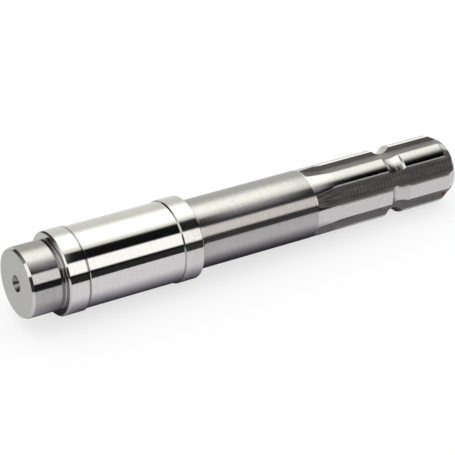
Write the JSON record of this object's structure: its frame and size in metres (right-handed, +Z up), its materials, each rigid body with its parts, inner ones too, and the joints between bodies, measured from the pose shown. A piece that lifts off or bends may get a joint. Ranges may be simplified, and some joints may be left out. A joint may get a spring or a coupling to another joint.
{
  "type": "splined shaft",
  "caption": "Turned steel stub shaft with a short journal, two ground seats, a plain shank and a straight-sided splined end with a ring groove for a lock.",
  "frame": {"origin": "centre of the journal's end face, where the axis comes out of its centre hole", "axes": "+X along the shaft's axis towards the splined end, +Z up through the middle of a spline slot as the shaft lies, +Y to the left of +X"},
  "size_m": [0.245, 0.042, 0.042],
  "materials": {
    "machined_steel": "turned and ground bare steel, satin on the journal and shank, near-mirror on the seats, dull in the hobbed slots"
  },
  "bodies": {
    "root": {"splined_shaft": "machined_steel"}
  },
  "joints": []
}
